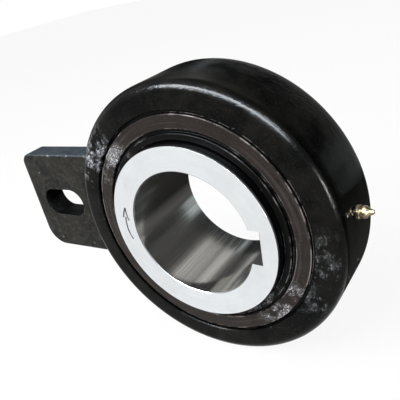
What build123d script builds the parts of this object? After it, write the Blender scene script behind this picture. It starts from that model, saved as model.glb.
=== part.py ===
"""Shaft-mounted sprag clutch (backstop) with a welded torque arm.

A keyed inner race turns in a grease-filled housing on alternating rollers and sprags.
It turns freely one way. Turned the other way, the sprags stand up between the two
raceways and lock it to the housing, which the torque arm holds still.

The shaft's axis is Y with the front at -Y, the torque arm points along -X and +Z is up.
The origin is the middle of the bore. All sizes are in millimetres and degrees.
"""

import os
from math import asin, cos, degrees, hypot, radians, sin, sqrt, tan

from build123d import *

os.makedirs("parts", exist_ok=True)

# Inner race and its keyway
bore_radius = 37.5
race_wall = 14.5
race_stand_out = 6.0
race_chamfer = 1.0
race_shoulder_height = 2.0
key_width = 20.0
key_depth_in_hub = 4.9
key_angle = -4.0

# Housing, from its raceway outwards
counterbore_shoulder = 5.2
housing_rim = 14.8
housing_fillet = 6.5
counterbore_chamfer = 0.4

# Rolling set: rollers and sprags take turns round one cage
pocket_count = 24
roller_radius = 4.35
roller_shortfall = 5.0
roller_edge = 0.4
running_clearance = 0.15
pocket_clearance = 0.25
end_play = 0.3
sprag_length = 28.0
sprag_lobe_radius = 3.3
sprag_lean = 40.0
sprag_tilt = 8.0
cage_thickness = 4.4
cage_rim = 2.2
cage_side_play = 0.5
pocket_corner_radius = 1.0
garter_wire_radius = 0.8
garter_groove_clearance = 0.2

# Side closures
washer_thickness = 1.5
side_plate_thickness = 4.2
side_plate_recess = 0.3
seal_ring_wall = 5.8
seal_ring_stand_off = 0.3
seal_gap = 0.4
press_clearance = 0.02
closure_outer_chamfer = 2.0
closure_inner_chamfer = 0.4

# Torque arm and its weld
arm_projection = 67.5
arm_width = 72.0
arm_thickness = 16.0
arm_offset = 0.5
arm_top_corner = 7.0
arm_bottom_corner = 14.0
arm_edge_break = 0.8
slot_end_distance = 28.8
slot_length = 37.0
slot_width = 20.0
weld_leg = 5.0
weld_gap = 0.1

# Grease nipple
nipple_angle = 4.0
nipple_thread_radius = 3.0
nipple_thread_length = 5.5
nipple_hex_across_flats = 7.0
nipple_hex_height = 2.6
nipple_neck_radius = 2.2
nipple_neck_height = 1.4
nipple_head_radius = 3.25
nipple_head_height = 3.9
nipple_tip_radius = 1.6
nipple_edge = 0.4
nipple_ball_radius = 0.9
nipple_mouth_radius = 0.7
nipple_lip = 0.4
nipple_seat_depth = 0.4
nipple_seat_clearance = 0.8
thread_clearance = 0.03

# Worked out from the sizes above
race_radius = bore_radius + race_wall
inner_raceway = race_radius + race_shoulder_height
seal_bore = race_radius + seal_gap
side_plate_bore = seal_bore + seal_ring_wall
roller_length = sprag_length - roller_shortfall
pitch_radius = inner_raceway + running_clearance + roller_radius
outer_raceway = pitch_radius + roller_radius + running_clearance
counterbore_radius = outer_raceway + counterbore_shoulder
housing_radius = counterbore_radius + housing_rim
cage_half = sprag_length / 2 + end_play + cage_rim
raceway_half = cage_half + cage_side_play
plate_start = raceway_half + washer_thickness
housing_half = plate_start + side_plate_thickness + side_plate_recess
housing_width = 2 * housing_half
race_length = housing_width + 2 * race_stand_out
arm_reach = housing_radius + arm_projection
slot_centre = arm_reach - slot_end_distance
cage_inner = pitch_radius - cage_thickness / 2
cage_outer = pitch_radius + cage_thickness / 2
garter_radius = cage_outer - garter_wire_radius
garter_offset = sprag_length / 2 - garter_wire_radius
pocket_step = 360 / pocket_count


def across(y):
    """Sketch plane square to the shaft at y, with local x and y along X and Z."""
    return Plane.XZ.offset(-y)


def outward(angle, distance):
    """Plane facing away from the shaft at an angle above +X, local x along the shaft."""
    direction = Vector(cos(radians(angle)), 0, sin(radians(angle)))
    return Plane(origin=direction * distance, x_dir=(0, 1, 0), z_dir=direction)


def save(piece, label):
    """Names a finished sub-part and writes it."""
    piece.part.label = label
    export_step(piece.part, f"parts/{label}.step")


# Outer race: the housing, bored as the outer raceway and counterbored at both ends
with BuildPart() as outer_race:
    with BuildSketch(Plane.XY) as wall:
        with Locations(((outer_raceway + housing_radius) / 2, 0)):
            Rectangle(housing_radius - outer_raceway, housing_width)
        fillet(wall.vertices().group_by(Axis.X)[-1], housing_fillet)
        recess_depth = housing_half - raceway_half
        recess_middle = raceway_half + recess_depth / 2
        with Locations((outer_raceway, -recess_middle), (outer_raceway, recess_middle)):
            Rectangle(2 * (counterbore_radius - outer_raceway), recess_depth, mode=Mode.SUBTRACT)
        mouth_corners = wall.vertices().group_by(Axis.Y)
        chamfer([mouth_corners[0].sort_by(Axis.X)[0], mouth_corners[-1].sort_by(Axis.X)[0]],
                counterbore_chamfer)
    revolve(axis=Axis.Y)
    with BuildSketch(outward(nipple_angle, housing_radius)):
        Circle(nipple_hex_across_flats / 2 + nipple_seat_clearance)
    extrude(amount=-nipple_seat_depth, mode=Mode.SUBTRACT)
    with BuildSketch(outward(nipple_angle, housing_radius)):
        Circle(nipple_thread_radius)
    extrude(amount=-nipple_seat_depth - nipple_thread_length - 1, mode=Mode.SUBTRACT)
    with BuildSketch(outward(nipple_angle, housing_radius)):
        Circle(nipple_thread_radius / 2)
    extrude(amount=-(housing_radius - outer_raceway) - 1, mode=Mode.SUBTRACT)
save(outer_race, "outer_race")

# Torque arm: a flat bar whose root is cut to the housing's curve, with a slot at its end
arm_front = arm_offset - arm_thickness / 2
arm_rear = arm_offset + arm_thickness / 2
root_radius = housing_radius + weld_gap
with BuildPart() as torque_arm:
    with BuildSketch(across(arm_front)) as outline:
        with Locations((-arm_reach / 2, 0)):
            Rectangle(arm_reach, arm_width)
        end_corners = outline.vertices().group_by(Axis.X)[0].sort_by(Axis.Z)
        fillet(end_corners[0], arm_bottom_corner)
        fillet(outline.vertices().group_by(Axis.X)[0].sort_by(Axis.Z)[-1], arm_top_corner)
        Circle(root_radius, mode=Mode.SUBTRACT)
        with Locations((-slot_centre, 0)):
            SlotOverall(slot_length, slot_width, mode=Mode.SUBTRACT)
    extrude(amount=-arm_thickness)
    broken_edges = [
        edge
        for face in (torque_arm.faces().sort_by(Axis.Y)[0], torque_arm.faces().sort_by(Axis.Y)[-1])
        for edge in face.outer_wire().edges()
        if edge.center().X < -root_radius
    ]
    chamfer(broken_edges, arm_edge_break)
save(torque_arm, "torque_arm")

# Weld beads: two follow the housing's curve across the arm's faces, two run along its edges
arm_edge_angle = degrees(asin(arm_width / 2 / housing_radius))
bead_angle = degrees(weld_leg / housing_radius)
sweep_start = 180 + arm_edge_angle + bead_angle
sweep_plane = Plane(
    origin=(0, 0, 0),
    x_dir=(cos(radians(sweep_start)), 0, sin(radians(sweep_start))),
    z_dir=(-sin(radians(sweep_start)), 0, cos(radians(sweep_start))),
)
for label, arm_face, toe in (
    ("arm_weld_front", arm_front, arm_front - weld_leg),
    ("arm_weld_rear", arm_rear, arm_rear + weld_leg),
):
    with BuildPart() as face_bead:
        with BuildSketch(sweep_plane):
            with BuildLine():
                Polyline(
                    (housing_radius, arm_face),
                    (housing_radius + weld_leg, arm_face),
                    (housing_radius, toe),
                    close=True,
                )
            make_face()
        revolve(axis=Axis.Y, revolution_arc=2 * (arm_edge_angle + bead_angle))
    save(face_bead, label)

for label, side in (("arm_weld_top", 1), ("arm_weld_bottom", -1)):
    edge_z = side * arm_width / 2
    root = (-housing_radius * cos(radians(arm_edge_angle)), edge_z)
    crown = [
        (-housing_radius * cos(radians(angle)), side * housing_radius * sin(radians(angle)))
        for angle in (arm_edge_angle + bead_angle / 2, arm_edge_angle + bead_angle)
    ]
    with BuildPart() as edge_bead:
        with BuildSketch(across(arm_front)):
            with BuildLine():
                ThreePointArc(root, crown[0], crown[1])
                Polyline(crown[1], (root[0] - weld_leg, edge_z), root)
            make_face()
        extrude(amount=-arm_thickness)
    save(edge_bead, label)

# Thrust washers, side plates and seal rings close both ends of the housing
closure_radius = counterbore_radius - press_clearance
for end, side in (("front", -1), ("rear", 1)):
    with BuildPart() as thrust_washer:
        with BuildSketch(across(side * raceway_half)):
            Circle(closure_radius)
            Circle(seal_bore, mode=Mode.SUBTRACT)
        extrude(amount=-side * washer_thickness)
    save(thrust_washer, f"{end}_thrust_washer")

    with BuildPart() as side_plate:
        with BuildSketch(across(side * plate_start)):
            Circle(closure_radius)
            Circle(side_plate_bore, mode=Mode.SUBTRACT)
        extrude(amount=-side * side_plate_thickness)
        rims = side_plate.faces().sort_by(Axis.Y, reverse=side > 0)[0].edges().sort_by(SortBy.RADIUS)
        chamfer(rims[-1], closure_outer_chamfer)
        rims = side_plate.faces().sort_by(Axis.Y, reverse=side > 0)[0].edges().sort_by(SortBy.RADIUS)
        chamfer(rims[0], closure_inner_chamfer)
    save(side_plate, f"{end}_side_plate")

    with BuildPart() as seal_ring:
        with BuildSketch(across(side * plate_start)):
            Circle(side_plate_bore - press_clearance)
            Circle(seal_bore, mode=Mode.SUBTRACT)
        extrude(amount=-side * (housing_half + seal_ring_stand_off - plate_start))
        rims = seal_ring.faces().sort_by(Axis.Y, reverse=side > 0)[0].edges().sort_by(SortBy.RADIUS)
        chamfer(rims[-1], closure_outer_chamfer)
        rims = seal_ring.faces().sort_by(Axis.Y, reverse=side > 0)[0].edges().sort_by(SortBy.RADIUS)
        chamfer(rims[0], closure_inner_chamfer)
    save(seal_ring, f"{end}_seal_ring")

# Inner race: a ground ring with a raised raceway, whose shoulders run between the washers
shoulder_half = raceway_half - end_play
with BuildPart() as inner_race:
    with BuildSketch(Plane.XY) as race_section:
        with Locations(((bore_radius + race_radius) / 2, 0)):
            Rectangle(race_wall, race_length)
        chamfer(race_section.vertices(), race_chamfer)
        with Locations(((bore_radius + inner_raceway) / 2, 0)):
            Rectangle(inner_raceway - bore_radius, 2 * shoulder_half)
    revolve(axis=Axis.Y)
    keyway_floor = bore_radius + key_depth_in_hub
    with BuildSketch(across(-race_length / 2)):
        with PolarLocations(keyway_floor / 2, 1, start_angle=key_angle):
            Rectangle(keyway_floor, key_width)
    extrude(amount=-race_length, mode=Mode.SUBTRACT)
save(inner_race, "inner_race")

# Sprag section: two lobes leaning back from the radius, as tall as a roller.
# A sprag rocks about its outer lobe, and its inner lobe swings forwards as it lies down.
lobe_rise = roller_radius - sprag_lobe_radius
lobe_shift = lobe_rise * tan(radians(sprag_lean))
laid_down_shift = 2 * hypot(lobe_rise, lobe_shift) * sin(radians(sprag_lean + sprag_tilt)) - lobe_shift
roller_pocket = 2 * (roller_radius + pocket_clearance)
sprag_pocket = 2 * (sprag_lobe_radius + laid_down_shift + pocket_clearance)
roller_angles = [pocket_step * (2 * n + 1) for n in range(pocket_count // 2)]
sprag_angles = [pocket_step * 2 * n for n in range(pocket_count // 2)]

# Cage: one ring with a window for each roller and each sprag, grooved for the garter springs
groove_floor = garter_radius - garter_wire_radius - end_play
with BuildPart() as cage:
    with BuildSketch(across(-cage_half)):
        Circle(cage_outer)
        Circle(cage_inner, mode=Mode.SUBTRACT)
    extrude(amount=-2 * cage_half)
    for angles, length, width in (
        (roller_angles, roller_length, roller_pocket),
        (sprag_angles, sprag_length, sprag_pocket),
    ):
        with BuildSketch(*[outward(angle, pitch_radius) for angle in angles]):
            RectangleRounded(length + 2 * end_play, width, pocket_corner_radius)
        extrude(amount=cage_thickness, both=True, mode=Mode.SUBTRACT)
    with BuildSketch(Plane.XY):
        groove_width = 2 * (garter_wire_radius + garter_groove_clearance)
        with Locations((cage_outer, -garter_offset), (cage_outer, garter_offset)):
            Rectangle(2 * (cage_outer - groove_floor), groove_width)
    revolve(axis=Axis.Y, mode=Mode.SUBTRACT)
save(cage, "cage")

# Garter springs: closed rings that press on the sprags' notched ends
for end, side in (("front", -1), ("rear", 1)):
    with BuildPart() as garter_spring:
        with BuildSketch(Plane.XY):
            with Locations((garter_radius, side * garter_offset)):
                RegularPolygon(garter_wire_radius, 8)
        revolve(axis=Axis.Y)
    save(garter_spring, f"{end}_garter_spring")

# Rollers
for number, angle in enumerate(roller_angles, start=1):
    centre_x = pitch_radius * cos(radians(angle))
    centre_z = pitch_radius * sin(radians(angle))
    with BuildPart() as roller:
        with BuildSketch(across(-roller_length / 2)):
            with Locations((centre_x, centre_z)):
                Circle(roller_radius)
        extrude(amount=-roller_length)
        chamfer(roller.edges().filter_by(GeomType.CIRCLE), roller_edge)
    save(roller, f"roller_{number:02d}")

# Sprags: each leans so that turning the race forwards lays it down and turning it back lifts it
notch_length = 2 * (sprag_length / 2 - garter_offset) + garter_groove_clearance
notch_floor = groove_floor - sprag_pocket * sin(radians(sprag_tilt))
for number, angle in enumerate(sprag_angles, start=1):
    radial = Vector(cos(radians(angle)), 0, sin(radians(angle)))
    forwards = Vector(sin(radians(angle)), 0, -cos(radians(angle)))
    with BuildPart() as sprag:
        with BuildSketch(Plane(origin=radial * pitch_radius, x_dir=forwards, z_dir=(0, -1, 0))):
            with Locations((lobe_shift, -lobe_rise), (-lobe_shift, lobe_rise)):
                Circle(sprag_lobe_radius)
            make_hull()
        extrude(amount=sprag_length / 2, both=True)
        with BuildSketch(outward(angle, notch_floor)):
            with GridLocations(sprag_length - notch_length, 0, 2, 1):
                Rectangle(notch_length, 4 * sprag_lobe_radius)
        extrude(amount=2 * roller_radius, mode=Mode.SUBTRACT)
    save(sprag, f"sprag_{number:02d}")

# Grease nipple: hexagon, neck and head on a threaded shank, drilled through for the grease
nipple_seat = housing_radius - nipple_seat_depth
seat = outward(nipple_angle, nipple_seat)
nipple_section = Plane(origin=seat.origin, x_dir=(0, 1, 0), z_dir=seat.z_dir.cross(Vector(0, 1, 0)) * -1)
head_start = nipple_hex_height + nipple_neck_height
nipple_height = head_start + nipple_head_height
with BuildPart() as grease_nipple:
    with BuildSketch(seat):
        RegularPolygon(nipple_hex_across_flats / 2, 6, major_radius=False)
    extrude(amount=nipple_hex_height)
    chamfer(grease_nipple.faces().sort_by(Axis(seat.origin, seat.z_dir))[-1].edges(), nipple_edge)
    with BuildSketch(seat):
        Circle(nipple_thread_radius - thread_clearance)
    extrude(amount=-nipple_thread_length)
    with BuildSketch(nipple_section):
        with BuildLine():
            widest = (nipple_head_radius, head_start + nipple_head_height * 0.35)
            crown = (nipple_tip_radius, nipple_height)
            Polyline((0, 0), (nipple_neck_radius, 0), (nipple_neck_radius, head_start), widest)
            ThreePointArc(widest, (nipple_head_radius * 0.85, head_start + nipple_head_height * 0.7), crown)
            Polyline(crown, (0, nipple_height), (0, 0))
        make_face()
    revolve(axis=Axis(seat.origin, seat.z_dir))
    with BuildSketch(outward(nipple_angle, nipple_seat + nipple_height - nipple_lip)):
        Circle(nipple_ball_radius + thread_clearance)
    extrude(amount=-(nipple_height + nipple_thread_length), mode=Mode.SUBTRACT)
    with BuildSketch(outward(nipple_angle, nipple_seat + nipple_height)):
        Circle(nipple_mouth_radius)
    extrude(amount=-nipple_head_height, mode=Mode.SUBTRACT)
save(grease_nipple, "grease_nipple")

# Nipple ball: rests against the lip from inside and shows in the mouth
ball_drop = sqrt(nipple_ball_radius**2 - nipple_mouth_radius**2) + press_clearance
with BuildPart(outward(nipple_angle, nipple_seat + nipple_height - nipple_lip - ball_drop)) as nipple_ball:
    Sphere(nipple_ball_radius)
save(nipple_ball, "nipple_ball")
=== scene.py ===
"""Shaft-mounted sprag clutch with a welded torque arm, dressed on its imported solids.

The shaft lies along Y with the front at -Y, the torque arm points along -X, and +Z is up.
Sizes are in millimetres and degrees, and every mesh is scaled to metres as it is made.
The sections follow the order in which the clutch is put together.
"""

import math

import bpy
import numpy as np
from mathutils import Matrix, Vector


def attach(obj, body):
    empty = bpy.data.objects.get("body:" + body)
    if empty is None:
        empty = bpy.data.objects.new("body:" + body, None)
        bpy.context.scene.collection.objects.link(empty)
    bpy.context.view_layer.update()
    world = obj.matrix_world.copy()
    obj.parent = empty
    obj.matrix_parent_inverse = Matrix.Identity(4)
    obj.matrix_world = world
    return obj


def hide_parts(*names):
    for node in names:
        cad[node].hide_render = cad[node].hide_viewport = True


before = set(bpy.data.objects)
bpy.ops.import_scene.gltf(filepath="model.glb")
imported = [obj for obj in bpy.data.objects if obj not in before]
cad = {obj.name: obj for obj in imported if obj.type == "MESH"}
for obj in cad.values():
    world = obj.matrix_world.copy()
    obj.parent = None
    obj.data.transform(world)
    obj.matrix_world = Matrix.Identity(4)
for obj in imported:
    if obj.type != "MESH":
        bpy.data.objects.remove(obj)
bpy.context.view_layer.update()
scene = bpy.context.scene
scene.view_settings.view_transform = "Standard"

# ----------------------------------------
# Inner race. A thick ring of through-hardened bearing steel that slides on the shaft.
# It is turned, its keyway is broached, and its bore, faces and raceway are ground bright.
# A film of oil stays in the bore, and an arrow etched on the face shows the free turning.


def ring_profile(corners, cut, steps=4):
    """Closed (radius, along) section from its corners, with every corner rounded.

    A corner C becomes the parabola (1-t)^2 A + 2t(1-t) C + t^2 B, where A and B lie on its
    two sides at the distance cut. One more point beyond A and B keeps the flats flat. The
    second array is 1 on such a corner and 0 on the flats.
    """
    corners = np.asarray(corners, float)
    cut = np.broadcast_to(np.asarray(cut, float), len(corners))[:, None]
    to_last = np.roll(corners, 1, axis=0) - corners
    to_next = np.roll(corners, -1, axis=0) - corners
    a = corners + to_last / np.linalg.norm(to_last, axis=1, keepdims=True) * cut
    b = corners + to_next / np.linalg.norm(to_next, axis=1, keepdims=True) * cut
    t = np.linspace(0, 1, steps + 1)[:, None, None]
    arcs = (1 - t) ** 2 * a + 2 * t * (1 - t) * corners + t ** 2 * b
    holds = np.stack([a + (a - corners) * 0.4, b + (b - corners) * 0.4])
    rows = np.concatenate([holds[:1], arcs, holds[1:]]).transpose(1, 0, 2)
    edge = np.zeros(rows.shape[:2])
    edge[:, 1:-1] = 1
    return rows.reshape(-1, 2), edge.ravel()


def mesh_from_grid(name, grid, marks=None, ends="joined"):
    """Closed mesh from a grid of points, in millimetres, whose columns run round a section.

    Point (i, j) is joined to (i+1, j) and (i, j+1). Columns always close on themselves. Rows
    close on themselves too, or are shut by one flat face at each end where ends is "shut".
    The enclosed volume, one sixth of the sum of a . (b x c), settles which way faces point.
    """
    grid = np.asarray(grid, float)
    rows, columns = grid.shape[:2]
    number = np.arange(rows * columns).reshape(rows, columns)
    across = np.roll(number, -1, axis=1)
    if ends == "joined":
        here, there = (number, across), (np.roll(number, -1, 0), np.roll(across, -1, 0))
    else:
        here, there = (number[:-1], across[:-1]), (number[1:], across[1:])
    quads = np.stack([here[0], there[0], there[1], here[1]], axis=-1).reshape(-1, 4)
    points = grid.reshape(-1, 3)
    a, b, c, d = (points[quads[:, k]] for k in range(4))
    volume = (np.cross(a, b) * c + np.cross(a, c) * d).sum()
    loops, sizes = quads[:, ::-1] if volume < 0 else quads, np.full(len(quads), 4)
    loops = loops.ravel()
    if ends == "shut":
        first, last = (number[0], number[-1][::-1])
        caps = (first[::-1], last[::-1]) if volume < 0 else (first, last)
        loops = np.concatenate([loops, *caps])
        sizes = np.concatenate([sizes, [columns, columns]])
    mesh = bpy.data.meshes.new(name)
    mesh.vertices.add(len(points))
    mesh.vertices.foreach_set("co", (points * 0.001).ravel())
    mesh.loops.add(len(loops))
    mesh.loops.foreach_set("vertex_index", loops.astype(np.int32))
    mesh.polygons.add(len(sizes))
    starts = np.concatenate([[0], np.cumsum(sizes)[:-1]])
    mesh.polygons.foreach_set("loop_start", starts.astype(np.int32))
    for label, values in (marks or {}).items():
        layer = mesh.attributes.new(label, "FLOAT", "POINT")
        layer.data.foreach_set("value", np.broadcast_to(values, (rows, columns)).ravel())
    mesh.update(calc_edges=True)
    mesh.shade_smooth()
    mesh.set_sharp_from_angle(angle=math.radians(32))
    return mesh


def place_piece(name, mesh, finish, body, slot, *nodes):
    """Puts a finished mesh in the scene, on its body, in place of the CAD nodes it stands for."""
    piece = bpy.data.objects.new(name, mesh)
    scene.collection.objects.link(piece)
    mesh.materials.append(finish)
    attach(piece, body)
    if nodes:
        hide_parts(*nodes)
    return piece


def turned(section, angles):
    """Surface of revolution about the shaft: x = r cos(angle), z = r sin(angle), y = along."""
    turn = np.radians(angles)[:, None]
    radius, along = section[..., 0], section[..., 1]
    radius = np.broadcast_to(radius, (len(turn), radius.shape[-1]))
    along = np.broadcast_to(along, radius.shape)
    return np.stack([radius * np.cos(turn), along, radius * np.sin(turn)], axis=-1)


def node(tree, kind, inputs=(), **settings):
    """Adds one shader node. An input is a plain value or the output that feeds it."""
    new = tree.nodes.new("ShaderNode" + kind)
    for key, value in settings.items():
        setattr(new, key, value)
    pairs = inputs.items() if isinstance(inputs, dict) else enumerate(inputs)
    for key, value in pairs:
        if isinstance(value, bpy.types.NodeSocket):
            tree.links.new(value, new.inputs[key])
        elif value is not None:
            new.inputs[key].default_value = value
    return new


def math_of(tree, operation, *values):
    """One Math node: operation(values)."""
    return node(tree, "Math", values, operation=operation).outputs[0]


def times(tree, first, second):
    """The product of two values."""
    return math_of(tree, "MULTIPLY", first, second)


def spread(tree, value, low, high, out_low=0.0, out_high=1.0):
    """Maps low..high to out_low..out_high along an S-curve, level beyond both ends."""
    new = node(tree, "MapRange", (value, low, high, out_low, out_high))
    new.interpolation_type = "SMOOTHSTEP"
    return new.outputs[0]


def blend_colour(tree, share, first, second):
    """first where share is 0, second where it is 1."""
    inputs = {0: share, 6: first, 7: second}
    return node(tree, "Mix", inputs, data_type="RGBA").outputs[2]


def coats(tree, colour, *layers):
    """A colour under further coats, each given by its share from 0 to 1 and its colour."""
    for share, coat in layers:
        colour = blend_colour(tree, share, colour, (*coat, 1))
    return colour


def object_place(tree):
    """The point on the surface, in metres, in the frame that every piece shares."""
    return node(tree, "TexCoord").outputs["Object"]


def mesh_mark(tree, name):
    """A mark from 0 to 1 that the mesh carries at its points."""
    return node(tree, "Attribute", attribute_name=name).outputs["Fac"]


def beyond(tree, polar, start, full):
    """0 nearer to the shaft than start, 1 further out than full, both in millimetres."""
    return spread(tree, polar["Radius"], start * 0.001, full * 0.001)


def within(tree, polar, full, end):
    """1 nearer to the shaft than full, 0 further out than end, both in millimetres."""
    return spread(tree, polar["Radius"], full * 0.001, end * 0.001, 1, 0)


def noise(tree, vector, scale, detail=3.0, roughness=0.5):
    """Noise from 0 to 1. Scale is in lumps per unit of the vector, so per metre on a place."""
    inputs = {"Vector": vector, "Scale": scale, "Detail": detail, "Roughness": roughness}
    return node(tree, "TexNoise", inputs).outputs[0]


def new_group(name, inputs, outputs):
    """Empty node group with number sockets of the given names, and what feeds and leaves it."""
    tree = bpy.data.node_groups.new(name, "ShaderNodeTree")
    for label, value in inputs.items():
        socket = tree.interface.new_socket(label, in_out="INPUT", socket_type="NodeSocketFloat")
        socket.default_value = value
    for label in outputs:
        tree.interface.new_socket(label, in_out="OUTPUT", socket_type="NodeSocketFloat")
    given, end = tree.nodes.new("NodeGroupInput"), tree.nodes.new("NodeGroupOutput")
    return tree, given.outputs, end.inputs


def use(tree, group, **values):
    """Places a node group in a material with its own values and returns its outputs."""
    new = tree.nodes.new("ShaderNodeGroup")
    new.node_tree = group
    for label, value in values.items():
        socket = new.inputs[label.replace("_", " ").capitalize()]
        if isinstance(value, bpy.types.NodeSocket):
            tree.links.new(value, socket)
        else:
            socket.default_value = value
    return new.outputs


def new_finish(name, **plain):
    """New material with one Principled shader whose even values are set on its own sockets."""
    finish = bpy.data.materials.new(name)
    finish.use_nodes = True
    shader = finish.node_tree.nodes["Principled BSDF"]
    for label, value in plain.items():
        shader.inputs[label.replace("_", " ").title().replace("Ior", "IOR")].default_value = value
    return finish, finish.node_tree, shader


def cover(tree, shader, colour, rough, height, depth):
    """Feeds a shader its colour, its roughness and a bump, which is depth metres at height 1."""
    relief = node(tree, "Bump", {"Strength": 1.0, "Distance": depth, "Height": height})
    tree.links.new(colour, shader.inputs["Base Color"])
    tree.links.new(rough, shader.inputs["Roughness"])
    tree.links.new(relief.outputs[0], shader.inputs["Normal"])


# Place round the shaft: radius and depth in metres, angle in turns from +X towards +Z.
round_shaft, _, end = new_group("round shaft", {}, ("Radius", "Turn", "Along"))
place = object_place(round_shaft)
x, y, z = node(round_shaft, "SeparateXYZ", (place,)).outputs
flat_place = node(round_shaft, "CombineXYZ", (x, 0.0, z)).outputs[0]
length = node(round_shaft, "VectorMath", (flat_place,), operation="LENGTH").outputs["Value"]
turn = times(round_shaft, math_of(round_shaft, "ARCTAN2", z, x), 0.5 / math.pi)
turn = math_of(round_shaft, "FLOORED_MODULO", turn, 1.0)
for socket, value in zip(end, (length, turn, y)):
    round_shaft.links.new(value, socket)

# Turning marks: noise drawn out round the shaft and fine across it. Spacing is in metres, and
# Drift is how many times the marks change in one turn. Lines holds only the deepest marks.
turning_marks, given, end = new_group(
    "turning marks", {"Spacing": 0.0005, "Drift": 4.0}, ("Marks", "Lines"))
polar = use(turning_marks, round_shaft)
across = math_of(turning_marks, "DIVIDE", polar["Radius"], given["Spacing"])
deep = math_of(turning_marks, "DIVIDE", polar["Along"], given["Spacing"])
around = times(turning_marks, polar["Turn"], given["Drift"])
path = node(turning_marks, "CombineXYZ", (across, deep, around)).outputs[0]
fine = noise(turning_marks, path, 1.0, 2.0)
turning_marks.links.new(fine, end["Marks"])
turning_marks.links.new(spread(turning_marks, fine, 0.52, 0.68), end["Lines"])

race_bore, race_outside, raceway = 37.5, 52.0, 54.0
race_end, shoulder_half, race_chamfer, bore_chamfer = 29.0, 16.7, 1.0, 0.5
race_front = -28.97         # ground back a little, so that the arrow stays inside the race's length
key_half_width, key_floor, key_angle = 10.0, 42.4, -4.0
key_wall_break, row_gap = 0.25, 0.15
face_start, face_end = race_bore + 6, race_outside - 0.45

# The outside of the section, from the front face to the rear one.
outside, _ = ring_profile([
    (face_start, race_front), (face_end, race_front),
    (race_outside, -race_end + race_chamfer), (race_outside, -shoulder_half),
    (raceway, -shoulder_half), (raceway, shoulder_half), (race_outside, shoulder_half),
    (race_outside, race_end - race_chamfer), (face_end, race_end),
    (face_start, race_end)], cut=(.1, .01, .05, .12, .12, .12, .12, .05, .01, .1))
points_per_corner = 7
outside = outside[points_per_corner:-points_per_corner]

# The bore, from the rear face to the front one, with rows close together at both chamfers.
near_end = [0, .06, .15, .3, .45, .5, .6, 2]
inside_along = np.concatenate([near_end, np.linspace(4, 2 * race_end - 4, 11)])
inside_along = race_end - np.unique(np.concatenate([inside_along, 2 * race_end - inside_along]))
inside_depth = race_end - np.abs(inside_along)
inside_along = np.maximum(inside_along, race_front)
bore_radius = race_bore + np.clip(bore_chamfer - inside_depth, 0, None)

# Round the shaft, the angles are close together at the keyway's two walls.
key_reach = 16.0
key_turns = np.array([0, 13.1, 13.27, 13.45, 13.9, 14.4, 14.8, 15.02, 15.1, 15.3, 15.45, 15.5, 15.7])
race_angles = np.unique(np.concatenate([
    np.linspace(key_reach - 360, 15.9, 250), key_turns, -key_turns, np.linspace(-12, 12, 13)]))
off_key = np.radians(race_angles)[:, None]
to_wall = key_half_width / np.maximum(abs(np.sin(off_key)), .01)
key_radius = np.minimum(key_floor / np.cos(off_key), to_wall)
key_radius = np.where(abs(race_angles[:, None]) < key_reach, key_radius, 0)
key_radius = key_radius + np.clip(key_wall_break - inside_depth, 0, None)
inside_radius = np.maximum(bore_radius, key_radius)
in_key = (inside_radius > bore_radius + 0.02) * 1.0

# A row on each face close to the bore ends the keyway's mark there.
inside = np.stack([inside_radius, np.broadcast_to(inside_along, inside_radius.shape)], axis=-1)
count = len(race_angles)
race_section = np.concatenate([
    np.broadcast_to(outside, (count, *outside.shape)), inside[:, :1] + (row_gap, 0), inside,
    inside[:, -1:] + (row_gap, 0)], axis=1)
off_keyway = np.zeros((count, len(outside) + 1))
race_marks = {"keyway": np.concatenate([off_keyway, in_key, off_keyway[:, :1]], axis=1)}
race_surface = turned(race_section, race_angles + key_angle)
race_mesh = mesh_from_grid("inner_race_ground", race_surface, race_marks)

ground_steel, tree, shader = new_finish("ground_steel", metallic=1.0)
marks = use(tree, turning_marks, spacing=0.0006, drift=9.0)
polar = use(tree, round_shaft)
place = object_place(tree)
keyway = mesh_mark(tree, "keyway")
in_bore = within(tree, polar, race_bore + .01, race_bore + .03)
not_bore = math_of(tree, "SUBTRACT", 1.0, in_bore)

# The faces are bright, with a little oil on them.
oil = noise(tree, place, 60.0, 4.0, .6)
steel = blend_colour(tree, marks["Marks"], (.71, .735, .75, 1), (.77, .79, .80, 1))
steel = coats(tree, steel, (spread(tree, oil, .4, .7, 0, .5), (.67, .69, .70)))

# The bore is honed lengthwise. The lines are drawn out along the shaft and fine round it.
fine_turn = times(tree, polar["Turn"], 420.0)
slow_along = times(tree, polar["Along"], 14.0)
honed = node(tree, "CombineXYZ", (fine_turn, slow_along, 0.0)).outputs[0]
honing = noise(tree, honed, 1.0, 3.0, .6)
speckle = noise(tree, place, 1600.0, 2.0)
film = blend_colour(tree, spread(tree, honing, .3, .7), (.64, .64, .62, 1), (.82, .82, .80, 1))
film = blend_colour(tree, spread(tree, speckle, .35, .65, 0, .35), film, (.50, .50, .49, 1))
steel = blend_colour(tree, in_bore, steel, film)

# The chamfers and the cylinder outside the faces are painted near black as painted shade, and so is the
# keyway.
outer_edge_shade = beyond(tree, polar, race_outside - .5, race_outside - .3)
bore_edge = times(tree, within(tree, polar, race_bore + .4, race_bore + .6), not_bore)
steel = coats(tree, steel, (outer_edge_shade, (.035, .036, .038)), (bore_edge, (.06, .06, .061)),
              (keyway, (.035, .031, .028)))
honed_rough = spread(tree, honing, .3, .7, .07, .13)
rough = spread(tree, marks["Marks"], .2, .8, .17, .24)
rough = node(tree, "Mix", (in_bore, None, rough, honed_rough)).outputs[0]
rough = math_of(tree, "MAXIMUM", rough, times(tree, keyway, .5))
rough = math_of(tree, "MAXIMUM", rough, times(tree, bore_edge, .45))
cover(tree, shader, steel, rough, times(tree, marks["Marks"], not_bore), 1.5e-6)
place_piece("inner_race_ground", race_mesh, ground_steel, "inner_race", "ground_steel", "inner_race")

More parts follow.
